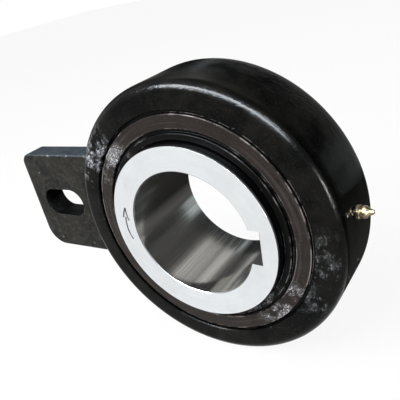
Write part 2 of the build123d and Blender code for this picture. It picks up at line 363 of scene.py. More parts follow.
# The arrow is three strokes, each a flat strip a millimetre wide and 0.04 deep. A stroke's
# angles and radii are the smooth curves, of the third degree at most, through its points.
stroke_half_width, stroke_front, stroke_back = 0.48, -29.0, -28.96
strokes = {
    "shaft": ([170.0, 176.0, 181.7, 186.0, 189.6], [43.8, 44.2, 44.2, 43.7, 42.9]),
    "barb_outer": ([161.9, 166.5, 171.1], [43.8, 44.8, 45.6]),
    "barb_inner": ([161.9, 166.5, 170.5, 172.7], [43.8, 43.1, 42.3, 41.6]),
}
etched_line, tree, shader = new_finish("etched_line", specular_ior_level=0.3)
etch = noise(tree, object_place(tree), 2500.0, 2.0)
etched = blend_colour(tree, etch, (.012, .012, .013, 1), (.05, .05, .052, 1))
tree.links.new(etched, shader.inputs["Base Color"])
tree.links.new(spread(tree, etch, .3, .7, .45, .7), shader.inputs["Roughness"])
for label, (stroke_turn, stroke_radius) in strokes.items():
    t = np.linspace(0, 1, 25)
    spaced = np.linspace(0, 1, len(stroke_turn))
    order = min(3, len(stroke_turn) - 1)
    turns = np.radians(np.polyval(np.polyfit(spaced, stroke_turn, order), t))
    radii = np.polyval(np.polyfit(spaced, stroke_radius, order), t)
    line = np.stack([radii * np.cos(turns), radii * np.sin(turns)], axis=-1)
    along_line = np.gradient(line, axis=0)
    side = np.stack([-along_line[:, 1], along_line[:, 0]], axis=-1)
    side *= stroke_half_width / np.linalg.norm(side, axis=1, keepdims=True)
    flats = np.stack([line - side, line + side, line + side, line - side], axis=1)
    depth = np.broadcast_to([stroke_front] * 2 + [stroke_back] * 2, flats.shape[:2])
    strip = np.stack([flats[..., 0], depth, flats[..., 1]], axis=-1)
    place_piece(f"turning_arrow_{label}", mesh_from_grid(label, strip, ends="shut"),
                etched_line, "inner_race", "ground_steel")

# ----------------------------------------
# Rollers and sprags. Twelve rollers carry the load while the race turns, and the twelve
# sprags between them stand up and lock it. All are hardened, ground and tumbled steel.


def refinish(finish, *labels):
    """Gives CAD nodes that are shown as they are a finish of their own."""
    for label in labels:
        cad[label].data.materials.clear()
        cad[label].data.materials.append(finish)


bearing_steel, tree, shader = new_finish("bearing_steel", metallic=1.0)
lengthwise = node(tree, "Mapping", (object_place(tree), None, None, (1.0, 6.0, 1.0))).outputs[0]
scratches = noise(tree, lengthwise, 700.0, 4.0, .6)
tumbled = blend_colour(tree, scratches, (.52, .53, .54, 1), (.70, .71, .72, 1))
cover(tree, shader, tumbled, spread(tree, scratches, .3, .7, .10, .26), scratches, 2e-6)
rolling = [label for label in cad if label.startswith(("roller_", "sprag_", "nipple_ball"))]
refinish(bearing_steel, *rolling)

# ----------------------------------------
# Cage and garter springs. The cage is one machined steel ring with a window for each
# roller and sprag. Two closed coil springs in its grooves press on the sprags' ends.

cage_steel, tree, shader = new_finish("cage_steel", metallic=1.0)
marks = use(tree, turning_marks, spacing=0.0007, drift=5.0)
film = noise(tree, object_place(tree), 120.0)
machined = blend_colour(tree, marks["Marks"], (.32, .32, .33, 1), (.46, .46, .47, 1))
machined = coats(tree, machined, (spread(tree, film, .45, .75, 0, .6), (.22, .20, .17)))
rough = spread(tree, film, .3, .7, .28, .46)
cover(tree, shader, machined, rough, marks["Marks"], 1.2e-5)
refinish(cage_steel, "cage")

coils_round = 420
spring_steel, tree, shader = new_finish("spring_steel", metallic=1.0)
polar = use(tree, round_shaft)
# The turns are painted on the smooth ring: the dark stripes between them are painted shade, over a bump
# of the same stripes.
coils = times(tree, polar["Turn"], 2 * math.pi * coils_round)
coils = math_of(tree, "MULTIPLY_ADD", math_of(tree, "SINE", coils), .5, .5)
wire_and_gap_shade = blend_colour(tree, coils, (.10, .10, .10, 1), (.42, .42, .43, 1))
cover(tree, shader, wire_and_gap_shade, spread(tree, coils, 0, 1, .5, .25), coils, 1.5e-4)
refinish(spring_steel, "front_garter_spring", "rear_garter_spring")

# ----------------------------------------
# Thrust washers. Flat bronze rings, faced on both sides, that keep the race and the cage
# from rubbing on the side plates. Grease darkens them.

bronze, tree, shader = new_finish("bronze", metallic=1.0)
marks = use(tree, turning_marks, spacing=0.0006, drift=6.0)
grease = noise(tree, object_place(tree), 90.0)
faced = blend_colour(tree, marks["Marks"], (.46, .29, .12, 1), (.62, .42, .20, 1))
faced = coats(tree, faced, (spread(tree, grease, .5, .8, 0, .7), (.20, .12, .05)))
cover(tree, shader, faced, spread(tree, grease, .3, .7, .24, .42), marks["Marks"], 1e-5)
refinish(bronze, "front_thrust_washer", "rear_thrust_washer")

# ----------------------------------------
# Side plates. Turned steel rings pressed into both ends of the housing, with a step round their
# outside. Their enamel is thin and brownish and the turning marks show through it. Their step is
# painted near black as painted shade.

# Paint film: fine orange peel, broad patches of thicker paint, and specks of grit under it.
paint_film, given, end = new_group(
    "paint film", {"Peel size": 0.0015, "Patch size": 0.02}, ("Peel", "Patches", "Specks"))
place = object_place(paint_film)
peel_scale = math_of(paint_film, "DIVIDE", 1.0, given["Peel size"])
patch_scale = math_of(paint_film, "DIVIDE", 1.0, given["Patch size"])
peel = noise(paint_film, place, peel_scale, 2.0)
patches = noise(paint_film, place, patch_scale, 3.0, .6)
specks = spread(paint_film, noise(paint_film, place, 1500.0, 1.0), .62, .74)
for socket, value in zip(end, (peel, patches, specks)):
    paint_film.links.new(value, socket)

# Edge wear and highlight: the mesh's own edge mark, broken up by noise. More of it shows as Amount
# grows. On the housing and the arm it is wear; on the side plates and the seal rings it is wide and
# runs far round, partly wear and partly a painted highlight along the edges.
edge_wear_and_highlight, given, end = new_group(
    "edge wear and highlight", {"Edge": 0.0, "Amount": 0.3, "Size": 0.004}, ("Wear and highlight",))
rub_scale = math_of(edge_wear_and_highlight, "DIVIDE", 1.0, given["Size"])
rub = noise(edge_wear_and_highlight, object_place(edge_wear_and_highlight), rub_scale, 4.0, .65)
lowered = times(edge_wear_and_highlight, given["Amount"], .5)
limit = math_of(edge_wear_and_highlight, "SUBTRACT", 0.8, lowered)
wear_and_edge_highlight = spread(edge_wear_and_highlight, math_of(edge_wear_and_highlight, "SUBTRACT", rub, limit), -.05, .05)
wear_and_edge_highlight = times(edge_wear_and_highlight, wear_and_edge_highlight, given["Edge"])
edge_wear_and_highlight.links.new(wear_and_edge_highlight, end["Wear and highlight"])

# Dust and top light: a lighter coat where a surface faces upwards, in uneven patches. On the side
# plates and the housing it is dust; on the arm, tinted blue-grey, it is a painted reflection of the sky
# on the top faces.
upward_dust_and_light, given, end = new_group("upward_dust_and_light", {"Amount": 0.3}, ("Dust and top light",))
facing = node(upward_dust_and_light, "SeparateXYZ", (node(upward_dust_and_light, "NewGeometry").outputs["Normal"],)).outputs[2]
fall = spread(upward_dust_and_light, facing, .0, 1.0, .03, 1)
uneven = spread(upward_dust_and_light, noise(upward_dust_and_light, object_place(upward_dust_and_light), 160.0, 5.0, .65), .2, .75, .25, 1)
dust_and_top_light_share = times(upward_dust_and_light, times(upward_dust_and_light, fall, uneven), given["Amount"])
upward_dust_and_light.links.new(dust_and_top_light_share, end["Dust and top light"])

# Painted sheen: light grainy patches within Width of one place round the ring, both in turns, and taken
# the short way round. They are a painted highlight of the turning marks under thin paint.
painted_sheen, given, end = new_group("painted_sheen", {"Centre": 0.4, "Width": 0.06}, ("Painted sheen",))
polar = use(painted_sheen, round_shaft)
away = math_of(painted_sheen, "SUBTRACT", polar["Turn"], given["Centre"])
away = math_of(painted_sheen, "FLOORED_MODULO", math_of(painted_sheen, "ADD", away, .5), 1.0)
away = math_of(painted_sheen, "ABSOLUTE", math_of(painted_sheen, "SUBTRACT", away, .5))
away = math_of(painted_sheen, "DIVIDE", away, given["Width"])
zone = spread(painted_sheen, away, .35, 1.0, 1, 0)
across = times(painted_sheen, polar["Radius"], 1100.0)
deep = times(painted_sheen, polar["Along"], 1100.0)
around = times(painted_sheen, polar["Turn"], 230.0)
path = node(painted_sheen, "CombineXYZ", (across, around, deep)).outputs[0]
grains = spread(painted_sheen, noise(painted_sheen, path, 1.0, 4.0, .8), .50, .66)
grains = math_of(painted_sheen, "MULTIPLY_ADD", grains, .92, .08)
painted_sheen_share = spread(painted_sheen, noise(painted_sheen, object_place(painted_sheen), 110.0, 4.0, .65), .46, .62)
painted_sheen_share = times(painted_sheen, times(painted_sheen, grains, painted_sheen_share), zone)
painted_sheen.links.new(painted_sheen_share, end["Painted sheen"])


def painted_sheen_twice(tree, upper, lower, lower_share=1.0):
    """The stronger of the painted sheen at two places, each given by its centre and width in turns."""
    first = use(tree, painted_sheen, centre=upper[0], width=upper[1])[0]
    second = use(tree, painted_sheen, centre=lower[0], width=lower[1])[0]
    if lower_share < 1:
        second = times(tree, second, lower_share)
    return math_of(tree, "MAXIMUM", first, second)


def turned_relief(tree, film, marks, marks_share):
    """Height of a painted turned surface: its orange peel over its turning marks."""
    under = times(tree, marks["Marks"], marks_share)
    return math_of(tree, "MULTIPLY_ADD", film["Peel"], .8, under)


ring_start, step_width, step_slope, inner_chamfer = 18.5, 2.0, 0.35, 0.4


def closure_rings(name, bore, outside, face, finish, slot):
    """A turned ring at each end of the clutch, from ring_start out to its face.

    Its section is a rectangle with a small chamfer at the bore and a step at the outside,
    step_width wide and deep. The step's wall leans outwards by step_slope.
    """
    angles = np.linspace(0, 360, 288, endpoint=False)
    step = outside - step_width
    for end_name, way in (("front", -1), ("rear", 1)):
        section, edge_mark = ring_profile([
            (bore, way * ring_start), (bore, way * (face - inner_chamfer)),
            (bore + inner_chamfer, way * face), (step, way * face),
            (step + step_slope, way * (face - step_width)),
            (outside, way * (face - step_width - .2)), (outside, way * ring_start)],
            cut=(.1, .12, .12, .35, .15, .1, .1))
        mesh = mesh_from_grid(name, turned(section, angles), {"edge": edge_mark})
        place_piece(f"{end_name}_{name}_turned", mesh, finish, "housing", slot,
                    f"{end_name}_{name}")


plate_bore, plate_outside, plate_face = 58.2, 68.18, 22.7
plate_step = plate_outside - step_width

side_plate_enamel, tree, shader = new_finish("side_plate_enamel", specular_ior_level=0.06)
marks = use(tree, turning_marks, spacing=0.0009, drift=7.0)
film = use(tree, paint_film, peel_size=0.0012, patch_size=0.012)
polar = use(tree, round_shaft)
# The edge mark here is wide and runs far round: partly wear, partly a painted highlight on the edges.
wear_and_edge_highlight = use(tree, edge_wear_and_highlight, edge=mesh_mark(tree, "edge"), amount=.52, size=.014)[0]
dust_and_top_light_share = use(tree, upward_dust_and_light, amount=.04)[0]
lines = times(tree, marks["Lines"], .2)
# Near-white grainy patches at two places round: painted sheen, a painted highlight on the turned face.
painted_sheen_share = painted_sheen_twice(tree, (.392, .048), (.884, .06))
# The step is painted near black: painted shade.
step_shade = beyond(tree, polar, plate_step - .08, plate_step + .22)
paint = blend_colour(tree, film["Patches"], (.009, .0072, .0062, 1), (.030, .0245, .0222, 1))
paint = coats(
    tree, paint, (lines, (.09, .08, .075)), (dust_and_top_light_share, (.25, .24, .22)),
    (painted_sheen_share, (.85, .86, .90)), (step_shade, (.004, .004, .004)), (wear_and_edge_highlight, (.20, .18, .17)))
rough = spread(tree, film["Peel"], .3, .7, .14, .30)
cover(tree, shader, paint, rough, turned_relief(tree, film, marks, .8), 3.5e-5)
closure_rings("side_plate", plate_bore, plate_outside, plate_face, side_plate_enamel,
              "side_plate_enamel")

# ----------------------------------------
# Seal rings. Turned steel rings pressed into the side plates, close round the race with a
# narrow gap that holds the grease in. They are sprayed satin black and stand a little proud.

seal_bore, seal_outside, seal_face = 52.4, 58.18, 23.3
seal_step = seal_outside - step_width

seal_black, tree, shader = new_finish("seal_black", specular_ior_level=0.04)
marks = use(tree, turning_marks, spacing=0.0008, drift=6.0)
film = use(tree, paint_film, peel_size=0.001, patch_size=0.010)
polar = use(tree, round_shaft)
# The edge mark here is wide and runs far round: partly wear, partly a painted highlight on the edges.
wear_and_edge_highlight = use(tree, edge_wear_and_highlight, edge=mesh_mark(tree, "edge"), amount=.44, size=.014)[0]
lines = times(tree, marks["Lines"], .15)
# Light grainy patches at two places round: painted sheen, a painted highlight on the turned face.
painted_sheen_share = painted_sheen_twice(tree, (.39, .05), (.858, .06))
# The step is painted near black: painted shade.
step_shade = beyond(tree, polar, seal_step - .08, seal_step + .22)
paint = blend_colour(tree, film["Patches"], (.0015, .0015, .0015, 1), (.006, .006, .0055, 1))
paint = coats(
    tree, paint, (lines, (.025, .025, .024)), (painted_sheen_share, (.58, .58, .60)),
    (step_shade, (.003, .003, .003)), (wear_and_edge_highlight, (.11, .11, .11)))
rough = spread(tree, film["Peel"], .3, .7, .12, .28)
cover(tree, shader, paint, rough, turned_relief(tree, film, marks, .8), 3e-5)
closure_rings("seal_ring", seal_bore, seal_outside, seal_face, seal_black, "seal_black")

# ----------------------------------------
# Housing. The outer race: a heavy ring of case-hardened steel with full round edges, ground
# inside as the raceway and brushed outside with gloss black enamel over the turned surface.

housing_radius, housing_half, housing_fillet, face_row = 83.0, 23.0, 6.5, 72.0
raceway_radius, raceway_half, raceway_chamfer = 63.0, 17.0, 0.2
mouth_radius, mouth_chamfer = 68.2, 0.4
nipple_angle, spot_radius, spot_rim, spot_seat, spot_reach = 4.0, 4.3, 0.24, 82.6, 9.0

quarter = np.radians(np.linspace(0, 90, 17))
flank = np.stack([housing_radius - housing_fillet + housing_fillet * np.sin(quarter),
                  -housing_half + housing_fillet - housing_fillet * np.cos(quarter)], axis=-1)
mouth_edge = mouth_radius + mouth_chamfer
face = np.stack([[mouth_edge + .1, mouth_edge + .5, face_row], [-housing_half] * 3], axis=-1)
front_flank = np.concatenate([face, flank])
belt_along = np.concatenate([[-13, -9], np.linspace(-5, 5, 41), [9, 13]])
belt = np.stack([np.full(len(belt_along), housing_radius), belt_along], axis=-1)
rear_flank = front_flank[::-1] * (1, -1)
rear_inside = np.array([
    (mouth_edge, housing_half), (mouth_radius, housing_half - mouth_chamfer),
    (mouth_radius, raceway_half + .1), (mouth_radius - .1, raceway_half),
    (raceway_radius + raceway_chamfer, raceway_half),
    (raceway_radius, raceway_half - raceway_chamfer)])
inside = np.concatenate([rear_inside, rear_inside[::-1] * (1, -1)])
section = np.concatenate([front_flank, belt, rear_flank, inside])
inside_start = len(section) - len(inside)
housing_edge = np.zeros(len(section))
housing_edge[[0, inside_start - 1, inside_start, -1]] = 1

# Round the nipple the surface sinks to a flat at the distance spot_seat from the axis. The
# rows and the angles are close together there.
near_nipple = nipple_angle + np.linspace(-3.4, 3.4, 41)
housing_angles = np.concatenate([np.linspace(-176, 183, 287), near_nipple])
housing_angles = np.unique(np.round(housing_angles, 3))
off_nipple = housing_angles[:, None] - nipple_angle
from_spot = np.hypot(housing_radius * np.sin(np.radians(off_nipple)), section[None, :, 1])
seat = spot_seat / np.cos(np.radians(np.clip(off_nipple, -spot_reach, spot_reach)))
share = np.clip((spot_radius + spot_rim / 2 - from_spot) / spot_rim, 0, 1)
radius = section[None, :, 0] * np.ones_like(seat)
on_belt = section[None, :, 0] > housing_radius - .01
on_spot = on_belt & (abs(off_nipple) < spot_reach)
radius = np.where(on_spot, radius + (np.minimum(seat, radius) - radius) * share, radius)
sections = np.stack([radius, np.broadcast_to(section[:, 1], radius.shape)], axis=-1)
housing_marks = {"edge": housing_edge, "spot_face": np.where(on_spot, share, 0)}
housing_mesh = mesh_from_grid("housing", turned(sections, housing_angles), housing_marks)


def chips(tree, places, size):
    """1 where the distance from the nearest place, plus noise, stays under about two sizes.

    Places and size are in millimetres. The noise reaches three sizes, so outlines are ragged.
    """
    place = object_place(tree)
    ragged = noise(tree, place, 900.0, 3.0, .7)
    nearest = 1.0
    for spot in places:
        inputs = (place, [v * .001 for v in spot])
        away = node(tree, "VectorMath", inputs, operation="DISTANCE").outputs["Value"]
        nearest = math_of(tree, "MINIMUM", nearest, away)
    away = math_of(tree, "MULTIPLY_ADD", ragged, .003 * size, nearest)
    return spread(tree, away, .0023 * size, .0018 * size)


# Light spots on the belt and near the nipple: bare metal chips, painted light as glints.
bare_glint_places = [(82.5, -8, 9), (82.3, -14, 11), (80.1, -.2, -21.9), (78.2, 0, -27.9), (79.5, -13, -23.7)]
black_enamel, tree, shader = new_finish("black_enamel", specular_ior_level=0.06)
marks = use(tree, turning_marks, spacing=0.0010, drift=6.0)
film = use(tree, paint_film, peel_size=0.0022, patch_size=0.016)
wear_and_edge_highlight = use(tree, edge_wear_and_highlight, edge=mesh_mark(tree, "edge"), amount=.25, size=.004)[0]
dust_and_top_light_share = use(tree, upward_dust_and_light, amount=.002)[0]
polar = use(tree, round_shaft)
specks = times(tree, film["Specks"], .10)
on_face = within(tree, polar, 79.5, 81.0)
# Light grainy patches on the faces at two places round: painted sheen, a painted highlight of the
# turning marks.
painted_sheen_share = painted_sheen_twice(tree, (.403, .052), (.955, .07), lower_share=.40)
painted_sheen_share = times(tree, painted_sheen_share, on_face)
thick = spread(tree, film["Patches"], .35, .65)
paint = blend_colour(tree, thick, (.0008, .0010, .0009, 1), (.0048, .0047, .0039, 1))
paint = coats(
    tree, paint, (specks, (.10, .10, .10)), (dust_and_top_light_share, (.3, .3, .3)),
    (painted_sheen_share, (.62, .65, .70)), (wear_and_edge_highlight, (.32, .32, .32)),
    (mesh_mark(tree, "spot_face"), (.004, .004, .004)),
    (chips(tree, bare_glint_places, .9), (.75, .72, .66)))

# The brush has left the paint rougher and wavier on the round front and rear edges.
on_fillet = beyond(tree, polar, 76.8, 78.5)
on_fillet = times(tree, on_fillet, within(tree, polar, 82.2, 82.8))
rough = spread(tree, film["Patches"], .3, .7, .08, .17)
rough = math_of(tree, "MULTIPLY_ADD", on_fillet, .09, rough)
wavier = math_of(tree, "MULTIPLY_ADD", on_fillet, 2.0, 1.0)
height = times(tree, turned_relief(tree, film, marks, .5), wavier)
cover(tree, shader, paint, rough, height, 5e-5)
place_piece("housing_enamelled", housing_mesh, black_enamel, "housing", "black_enamel", "outer_race")

# ----------------------------------------
# Torque arm. A flat bar of rolled steel, flame cut to the housing's curve at its root, with
# ground corners and a milled slot for the anchor bolt. It has one thin coat of satin black.

arm_end, arm_half_width, arm_front, arm_rear, arm_root = -150.5, 36.0, -7.5, 8.5, 83.1
top_corner, bottom_corner, edge_break = 7.0, 14.0, 0.8
slot_centre, slot_half_length, slot_half_width = -121.7, 18.5, 10.0


def arc_points(centre_x, centre_z, radius, first, last, count):
    """Points (x, z) of a circle's arc between two angles."""
    turn = np.radians(np.linspace(first, last, count))
    return np.stack([centre_x + radius * np.cos(turn), centre_z + radius * np.sin(turn)], axis=-1)


# The outline: along the top, down the end, back along the bottom and up the housing's curve.
root_turn = math.degrees(math.asin(arm_half_width / arm_root))
root_x = -arm_root * math.cos(math.radians(root_turn))
top_centre = (arm_end + top_corner, arm_half_width - top_corner)
bottom_centre = (arm_end + bottom_corner, -arm_half_width + bottom_corner)
top_edge = np.linspace((root_x, arm_half_width), (top_centre[0], arm_half_width), 30)
end_edge = np.linspace((arm_end, top_centre[1]), (arm_end, bottom_centre[1]), 24)
low_edge = np.linspace((bottom_centre[0], -arm_half_width), (root_x, -arm_half_width), 30)
root_edge = arc_points(0, 0, arm_root, 180 + root_turn, 180 - root_turn, 60)
outline = np.concatenate([
    top_edge[:-1], arc_points(*top_centre, top_corner, 90, 180, 14),
    end_edge[1:-1], arc_points(*bottom_centre, bottom_corner, 180, 270, 20),
    low_edge[1:], root_edge[1:-1]])

# Inward from each point of the outline. The root isn't broken, so it doesn't move.
tangent = np.roll(outline, -1, 0) - np.roll(outline, 1, 0)
inward = np.stack([-tangent[:, 1], tangent[:, 0]], axis=-1)
inward /= np.linalg.norm(inward, axis=1, keepdims=True)
inward[np.hypot(outline[:, 0], outline[:, 1]) < arm_root + 0.05] = 0

# The slot's point on the ray from its centre to each point of the outline.
from_slot = outline - (slot_centre, 0)
ray = np.arctan2(from_slot[:, 1], from_slot[:, 0])
half_straight = slot_half_length - slot_half_width
to_side = slot_half_width / np.maximum(np.abs(np.sin(ray)), 1e-6)
to_end = half_straight * np.abs(np.cos(ray))
to_end = to_end + np.sqrt(slot_half_width ** 2 - (half_straight * np.sin(ray)) ** 2)
to_slot = np.where(to_side * np.abs(np.cos(ray)) < half_straight, to_side, to_end)
slot_loop = np.stack([slot_centre + to_slot * np.cos(ray), to_slot * np.sin(ray)], axis=-1)
slot_out = outline - slot_loop
slot_out = slot_out / np.linalg.norm(slot_out, axis=1, keepdims=True)

# One column per line round the bar's section, from the slot's wall across the face to the
# bar's edge: where it starts, how far it moves inwards or out of the slot, how far it lies
# below the face, and its edge mark.
lines = [
    ("slot", 0.0, .30, 0), ("slot", .09, .09, 0), ("slot", .30, 0.0, 0), ("slot", .8, 0.0, 0),
    ("rim", edge_break + 1.0, 0.0, 0), ("rim", edge_break + .15, 0.0, .6),
    ("rim", edge_break * .8, .10, 1), ("rim", edge_break * .2, edge_break * .75, 1),
    ("rim", 0.0, edge_break + .15, .5), ("rim", 0.0, edge_break + 1.2, 0)]
columns = [(where, shift, arm_front + drop, edge) for where, shift, drop, edge in lines]
columns += [(where, shift, arm_rear - drop, edge) for where, shift, drop, edge in lines[::-1]]
starts = {"rim": (outline, inward), "slot": (slot_loop, slot_out)}
grid = np.stack([
    np.insert(starts[where][0] + starts[where][1] * shift, 1, along, axis=1)
    for where, shift, along, edge in columns], axis=1)
slot_wall = [float(where == "slot" and shift == 0.0) for where, shift, along, edge in columns]
arm_marks = {"edge": [column[3] for column in columns], "slot_wall": slot_wall}
arm_mesh = mesh_from_grid("torque_arm", grid, arm_marks)

knocked_places = [(-137.2, -7.5, -29.8), (-136.9, -7.5, 22.6), (-88.4, -7.5, -33), (-105.6, -7.5, -31)]
arm_enamel, tree, shader = new_finish("arm_enamel", specular_ior_level=0.07)
film = use(tree, paint_film, peel_size=0.0016, patch_size=0.010)
wear_and_edge_highlight = use(tree, edge_wear_and_highlight, edge=mesh_mark(tree, "edge"), amount=.38, size=.006)[0]
# The upward faces get a blue-grey coat: painted light, a painted reflection of the sky on the top
# faces.
dust_and_top_light_share = use(tree, upward_dust_and_light, amount=.27)[0]
mottle = noise(tree, object_place(tree), 300.0, 5.0, .7)
knocked = times(tree, chips(tree, knocked_places, 1.3), mottle)
thick = spread(tree, film["Patches"], .3, .7)
paint = blend_colour(tree, thick, (.004, .004, .0035, 1), (.0135, .0125, .0095, 1))
# The slot's walls are painted near black: painted shade.
paint = coats(
    tree, paint, (spread(tree, mottle, .45, .7, 0, .7), (.034, .032, .025)),
    (dust_and_top_light_share, (.135, .19, .26)), (times(tree, wear_and_edge_highlight, .7), (.26, .26, .26)),
    (mesh_mark(tree, "slot_wall"), (.0005, .0005, .0005)), (knocked, (.22, .22, .20)))
rough = spread(tree, mottle, .3, .7, .30, .5)
height = math_of(tree, "MULTIPLY_ADD", film["Peel"], .7, mottle)
cover(tree, shader, paint, rough, height, 4.5e-5)
place_piece("torque_arm_plate", arm_mesh, arm_enamel, "housing", "arm_enamel", "torque_arm")

# ----------------------------------------
# Welds. Rippled fillet beads join the arm to the housing on both faces and along both of
# its edges. They are run by hand, so the ripples are uneven, and painted with the arm.

weld_leg, ripple_pitch, face_weld_turn, overrun = 5.0, 1.5, 29.0, 1.5
face_steps, edge_steps = 420, 150


def bead(corner, first, second, distance, taper):
    """Fillet bead: from a corner line, a quarter round spanned by two leg directions.

    P = corner + leg (first cos s + second sin s) (0.80 + ripple), s from -4 to 94 degrees. The
    ripple is a scallop |sin| of the distance along the bead, pushed forward at the middle of s.
    """
    s = np.radians(np.linspace(-4, 94, 15))
    lag = 1.1 * np.sin(2 * s)[None, :]
    wander = np.sin(distance * .9)[:, None] * .35 + np.sin(distance * .37 + 1)[:, None] * .5
    scallop = np.abs(np.sin((distance[:, None] + lag + wander) * np.pi / ripple_pitch))
    size = weld_leg * (.80 + .055 * scallop + .02 * wander) * taper[:, None]
    round_leg = np.cos(s)[:, None] * first[:, None] + np.sin(s)[:, None] * second[:, None]
    arc = corner[:, None] + size[..., None] * round_leg
    inner = corner[:, None] - .25 * (first + second)[:, None]
    return np.concatenate([inner, arc], axis=1)


def tapered(count, run_out, smallest):
    """1 along a bead, falling to the smallest size over run_out points at both ends."""
    from_end = np.minimum(np.arange(count), np.arange(count)[::-1])
    return np.clip(from_end / run_out, smallest, 1) ** .5


def place_bead(end_name, legs):
    """Puts one bead in the scene in place of the CAD weld of the same name."""
    place_piece(f"arm_weld_{end_name}_bead", mesh_from_grid("bead", legs, ends="shut"),
                arm_enamel, "housing", "arm_enamel", f"arm_weld_{end_name}")


face_turns = np.radians(np.linspace(180 - face_weld_turn, 180 + face_weld_turn, face_steps))
outwards = np.stack([np.cos(face_turns), 0 * face_turns, np.sin(face_turns)], axis=-1)
run = housing_radius * face_turns
for end_name, face_level, way in (("front", arm_front, -1), ("rear", arm_rear, 1)):
    corner = outwards * housing_radius + (0, face_level, 0)
    off_face = np.broadcast_to((0.0, way, 0.0), outwards.shape)
    place_bead(end_name, bead(corner, outwards, off_face, run, tapered(face_steps, 22, .12)))
edge_turn = math.asin(arm_half_width / housing_radius)
along_edge = np.linspace(arm_front - overrun, arm_rear + overrun, edge_steps)
for end_name, way in (("top", 1), ("bottom", -1)):
    corner = np.stack([np.full(edge_steps, -housing_radius * math.cos(edge_turn)), along_edge,
                       np.full(edge_steps, way * arm_half_width)], axis=-1)
    along_bar = np.broadcast_to((-1.0, 0.0, 0.0), corner.shape)
    up_wall = np.ones_like(corner) * (math.sin(edge_turn), 0.0, way * math.cos(edge_turn))
    taper = tapered(edge_steps, 14, .3)
    place_bead(end_name, bead(corner, along_bar, up_wall, along_edge, taper))

# ----------------------------------------
# Grease nipple. A turned steel nipple, plated yellow, screwed into its spot face on the
# housing. Its hexagon, neck and pointed head are one piece, and a ball shuts its mouth.

hexagon_half, hexagon_height, hexagon_corner = 3.5, 1.5, 1.125
neck_radius, head_start, head_radius, nipple_top = 2.4, 2.4, 3.3, 7.9
grease_hole, shank_radius, shank_length = 0.7, 2.9, 5.0

# Radius and height above the spot face, from the end of the thread up to the mouth.
nipple_section = np.array([
    (grease_hole, -shank_length), (shank_radius, -shank_length), (shank_radius, -.02),
    (hexagon_half, -.02), (hexagon_half, hexagon_height - .3),
    (hexagon_half - .3, hexagon_height), (neck_radius + .1, hexagon_height),
    (neck_radius, hexagon_height + .1), (neck_radius, head_start - .1),
    (neck_radius + .1, head_start), (head_radius - .1, head_start + .35),
    (head_radius, head_start + .5), (head_radius, head_start + 1.4),
    (head_radius - .15, head_start + 1.9), (2.75, head_start + 2.5), (2.2, head_start + 3.1),
    (1.9, head_start + 3.4), (1.6, head_start + 4.1), (1.3, nipple_top - .7),
    (1.0, nipple_top), (grease_hole + .1, nipple_top), (grease_hole, nipple_top - .1)])

# Round the nipple's own axis, the hexagon's radius is half its width over the cosine of the
# angle from the middle of a flat, and its corners are turned off.
spin = np.radians(np.linspace(0, 360, 97)[:-1])
across_flats = 1 / np.cos((spin + math.pi / 6) % (math.pi / 3) - math.pi / 6)
across_flats = np.minimum(across_flats[:, None], hexagon_corner)
out_from_axis, up_axis = nipple_section[:, 0], nipple_section[:, 1]
is_hexagon = (out_from_axis > shank_radius) & (up_axis <= hexagon_height)
reach = np.where(is_hexagon, across_flats * out_from_axis, out_from_axis)
nipple_turn = math.radians(nipple_angle)
axis = np.array((math.cos(nipple_turn), 0, math.sin(nipple_turn)))
sideways = np.array((-axis[2], 0, axis[0]))
round_axis = np.cos(spin)[:, None] * np.array((0, 1, 0)) + np.sin(spin)[:, None] * sideways
grid = (axis * (spot_seat + up_axis)[:, None])[None] + reach[..., None] * round_axis[:, None]

plated_brass, tree, shader = new_finish("plated_brass", metallic=1.0)
stain = noise(tree, object_place(tree), 600.0, 4.0, .6)
plating = blend_colour(tree, spread(tree, stain, .3, .7), (.075, .052, .03, 1), (.23, .19, .125, 1))
cover(tree, shader, plating, spread(tree, stain, .3, .7, .30, .46), stain, 1e-5)
place_piece("grease_nipple_plated", mesh_from_grid("grease_nipple", grid), plated_brass,
            "housing", "plated_brass", "grease_nipple")

# ----------------------------------------
# Studio. The clutch stands on a plain pale floor in an even white room, under one softbox in
# front and above. A window overhead, a narrow one at its right and a dark room behind it
# show only as reflections in its paint and steel.

floor_half, floor_level, floor_lines = 4.0, -0.0831, 9


def stage_sheet(name, points, finish):
    """Puts an open sheet of faces between a grid's points, in metres, in the scene."""
    corner = np.arange(points.shape[0] * points.shape[1]).reshape(points.shape[:2])
    faces = [corner[:-1, :-1], corner[1:, :-1], corner[1:, 1:], corner[:-1, 1:]]
    faces = np.stack(faces, axis=-1).reshape(-1, 4)
    mesh = bpy.data.meshes.new(name)
    mesh.from_pydata(points.reshape(-1, 3).tolist(), [], faces.tolist())
    mesh.materials.append(finish)
    sheet = bpy.data.objects.new(name, mesh)
    scene.collection.objects.link(sheet)
    return sheet


def seen_directly(tree):
    """1 for rays from the camera, from a mirror-like surface or through glass, 0 for others."""
    rays = node(tree, "LightPath").outputs
    seen = math_of(tree, "MAXIMUM", rays["Is Camera Ray"], rays["Is Glossy Ray"])
    return math_of(tree, "MAXIMUM", seen, rays["Is Transmission Ray"])


side = np.linspace(-floor_half, floor_half, floor_lines)
floor_points = np.stack(np.meshgrid(side, side, [floor_level], indexing="ij"), axis=-1)[:, :, 0]
pale_floor, tree, shader = new_finish("pale_floor", roughness=1.0, specular_ior_level=0.0)
cloudy = noise(tree, object_place(tree), 6.0)
pale = blend_colour(tree, cloudy, (.78, .78, .78, 1), (.82, .82, .82, 1))
tree.links.new(pale, shader.inputs["Base Color"])
glow = node(tree, "Emission", ((1, 1, 1, 1), 1.0))
share = times(tree, seen_directly(tree), .9)
mixed = node(tree, "MixShader", (share, shader.outputs[0], glow.outputs[0]))
tree.links.new(mixed.outputs[0], tree.nodes["Material Output"].inputs["Surface"])
stage_sheet("floor", floor_points, pale_floor)

